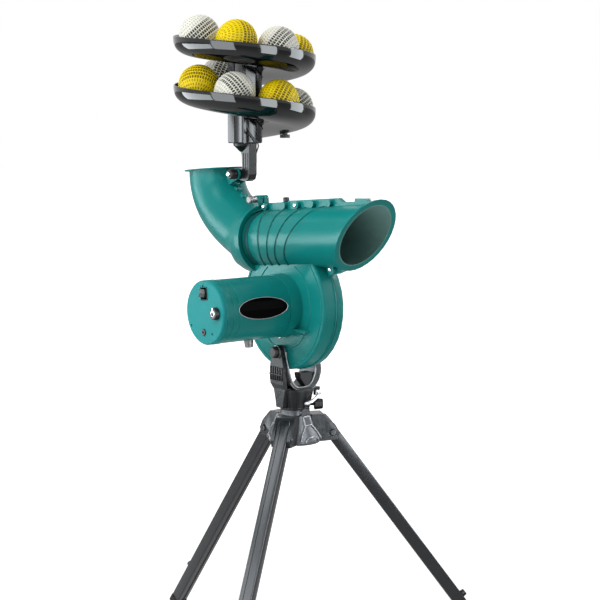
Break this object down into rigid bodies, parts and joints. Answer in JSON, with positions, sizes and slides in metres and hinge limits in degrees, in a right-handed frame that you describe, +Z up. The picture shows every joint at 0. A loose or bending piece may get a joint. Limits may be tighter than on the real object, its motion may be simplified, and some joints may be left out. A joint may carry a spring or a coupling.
{
  "type": "cricket bowling machine",
  "caption": "Ball thrower for cricket practice: a powered wheel under a launch tube, a spiral tray of balls that feeds an elbow, and a turning, tilting yoke on folding tripod legs.",
  "frame": {"origin": "on the floor, under the middle of the box round the three feet", "axes": "+Z up; the ball leaves towards -Y; the motor barrel points towards -X"},
  "size_m": [1.0384, 0.9244, 1.4321],
  "materials": {
    "teal_shell": "satin moulded",
    "teal_cap": "satin moulded, lighter",
    "tray_black": "polished vacuum-formed",
    "column_black": "satin extruded",
    "black_plastic": "moulded, fine grain",
    "yoke_black": "moulded, fine grain",
    "yoke_steel": "light grey paint",
    "leg_grey": "dark grey paint",
    "leg_tube": "drawn tube",
    "hub_grey": "cast, grey paint",
    "foot_rubber": "moulded",
    "bright_steel": "zinc plated",
    "motor_steel": "grey paint",
    "wheel_aluminium": "turned",
    "tyre_rubber": "ground",
    "pad_rubber": "moulded",
    "badge_black": "domed, with a silver edge",
    "fixing_black": "black plated",
    "cable_black": "sheath",
    "ball_white": "dimpled",
    "ball_yellow": "dimpled"
  },
  "bodies": {
    "base": {"hub_casting": "hub_grey", "centre_post": "bright_steel", "leg_bracket_1": "hub_grey", "leg_bracket_2": "hub_grey", "leg_bracket_3": "hub_grey"},
    "yoke": {"yoke_socket": "yoke_black", "yoke_bracket": "yoke_steel", "yoke_cheek_left": "yoke_black", "tilt_stop_block": "black_plastic", "tilt_bolt_left": "bright_steel", "tilt_bolt_right": "bright_steel"},
    "swivel_lever": {"swivel_lever": "bright_steel"},
    "pan_lock": {"pan_lock_knob": "black_plastic"},
    "head": {"shell_left": "teal_shell", "shell_right": "teal_shell", "seam_bolt": "fixing_black", "motor_barrel": "teal_shell", "end_cap": "teal_cap", "motor_can": "motor_steel", "badge_plate": "badge_black", "barrel_stud": "bright_steel", "feeder_jack": "bright_steel", "pressure_pad": "pad_rubber", "feed_elbow": "teal_shell", "elbow_clamp_screw": "bright_steel", "pivot_screw": "fixing_black"},
    "wheel": {"wheel_hub": "wheel_aluminium", "wheel_tyre": "tyre_rubber", "drive_shaft": "bright_steel"},
    "power_switch": {"power_switch": "black_plastic"},
    "speed_knob": {"speed_knob": "black_plastic"},
    "feeder": {"feeder_arm": "column_black", "feeder_column": "column_black", "upper_ramp": "tray_black", "lower_ramp": "tray_black", "release_solenoid": "bright_steel", "feeder_cable": "cable_black", "ball_upper_1": "ball_white", "ball_upper_2": "ball_yellow", "ball_upper_3": "ball_white", "ball_upper_4": "ball_yellow", "ball_lower_1": "ball_white", "ball_lower_2": "ball_yellow", "ball_lower_3": "ball_white", "ball_lower_4": "ball_yellow", "ball_lower_5": "ball_white"},
    "release_plunger": {"release_plunger": "bright_steel"},
    "upper_leg_1": {"upper_leg_1": "leg_grey"},
    "lower_leg_1": {"lower_leg_1": "leg_tube", "foot_1": "foot_rubber"},
    "leg_lock_1": {"leg_lock_1": "black_plastic"},
    "upper_leg_2": {"upper_leg_2": "leg_grey"},
    "lower_leg_2": {"lower_leg_2": "leg_tube", "foot_2": "foot_rubber"},
    "leg_lock_2": {"leg_lock_2": "black_plastic"},
    "upper_leg_3": {"upper_leg_3": "leg_grey"},
    "lower_leg_3": {"lower_leg_3": "leg_tube", "foot_3": "foot_rubber"},
    "leg_lock_3": {"leg_lock_3": "black_plastic"}
  },
  "joints": [
    {"name": "pan_turn", "type": "hinge", "parent": "base", "child": "yoke", "pos_m": [-0.01161, -0.13448, 0.76], "axis": [0, 0, 1], "continuous": true},
    {"name": "swivel_lever_swing", "type": "hinge", "parent": "yoke", "child": "swivel_lever", "pos_m": [0.02489, -0.14848, 0.77981], "axis": [0, 0, 1], "range_deg": [0, 60]},
    {"name": "pan_lock_turn", "type": "hinge", "parent": "yoke", "child": "pan_lock", "pos_m": [-0.01161, -0.13448, 0.76211], "axis": [0.8387, -0.5446, 0], "range_deg": [0, 360]},
    {"name": "head_tilt", "type": "hinge", "parent": "yoke", "child": "head", "pos_m": [-0.01161, -0.13448, 0.85701], "axis": [1, 0, 0], "range_deg": [-12, 18]},
    {"name": "wheel_spin", "type": "hinge", "parent": "head", "child": "wheel", "pos_m": [-0.01161, -0.13451, 0.93701], "axis": [1, 0, 0], "continuous": true},
    {"name": "power_switch_rock", "type": "hinge", "parent": "head", "child": "power_switch", "pos_m": [-0.19771, -0.13276, 0.96848], "axis": [0, 0.9962, -0.0872], "range_deg": [-16, 0]},
    {"name": "speed_knob_turn", "type": "hinge", "parent": "head", "child": "speed_knob", "pos_m": [-0.2007, -0.16827, 0.93896], "axis": [1, 0, 0], "range_deg": [0, 270]},
    {"name": "feeder_tilt", "type": "hinge", "parent": "head", "child": "feeder", "pos_m": [-0.01161, 0.01812, 1.15554], "axis": [1, 0, 0], "range_deg": [-15, 15]},
    {"name": "release_slide", "type": "slide", "parent": "feeder", "child": "release_plunger", "axis": [0, 0, -1], "range_m": [0, 0.026], "stiffness_N_per_m": 120, "springref_m": -0.01},
    {"name": "leg_fold_1", "type": "hinge", "parent": "base", "child": "upper_leg_1", "pos_m": [0.04506, -0.16423, 0.71301], "axis": [0.4648, 0.8854, 0], "range_deg": [0, 34]},
    {"name": "leg_slide_1", "type": "slide", "parent": "upper_leg_1", "child": "lower_leg_1", "axis": [-0.5249, 0.2756, 0.8053], "range_m": [0, 0.315]},
    {"name": "leg_lock_turn_1", "type": "hinge", "parent": "upper_leg_1", "child": "leg_lock_1", "pos_m": [0.25082, -0.27226, 0.39733], "axis": [0.713, -0.3743, 0.5929], "range_deg": [0, 180]},
    {"name": "leg_fold_2", "type": "hinge", "parent": "base", "child": "upper_leg_2", "pos_m": [-0.06571, -0.16868, 0.71301], "axis": [0.5344, -0.8453, 0], "range_deg": [0, 34]},
    {"name": "leg_slide_2", "type": "slide", "parent": "upper_leg_2", "child": "lower_leg_2", "axis": [0.5011, 0.3168, 0.8053], "range_m": [0, 0.315]},
    {"name": "leg_lock_turn_2", "type": "hinge", "parent": "upper_leg_2", "child": "leg_lock_2", "pos_m": [-0.26215, -0.29286, 0.39733], "axis": [-0.6807, -0.4303, 0.5929], "range_deg": [0, 180]},
    {"name": "leg_fold_3", "type": "hinge", "parent": "base", "child": "upper_leg_3", "pos_m": [-0.01418, -0.07053, 0.71301], "axis": [-0.9992, -0.0401, 0], "range_deg": [0, 34]},
    {"name": "leg_slide_3", "type": "slide", "parent": "upper_leg_3", "child": "lower_leg_3", "axis": [0.0238, -0.5924, 0.8053], "range_m": [0, 0.315]},
    {"name": "leg_lock_turn_3", "type": "hinge", "parent": "upper_leg_3", "child": "leg_lock_3", "pos_m": [-0.02351, 0.16168, 0.39733], "axis": [-0.0323, 0.8047, 0.5929], "range_deg": [0, 180]}
  ]
}
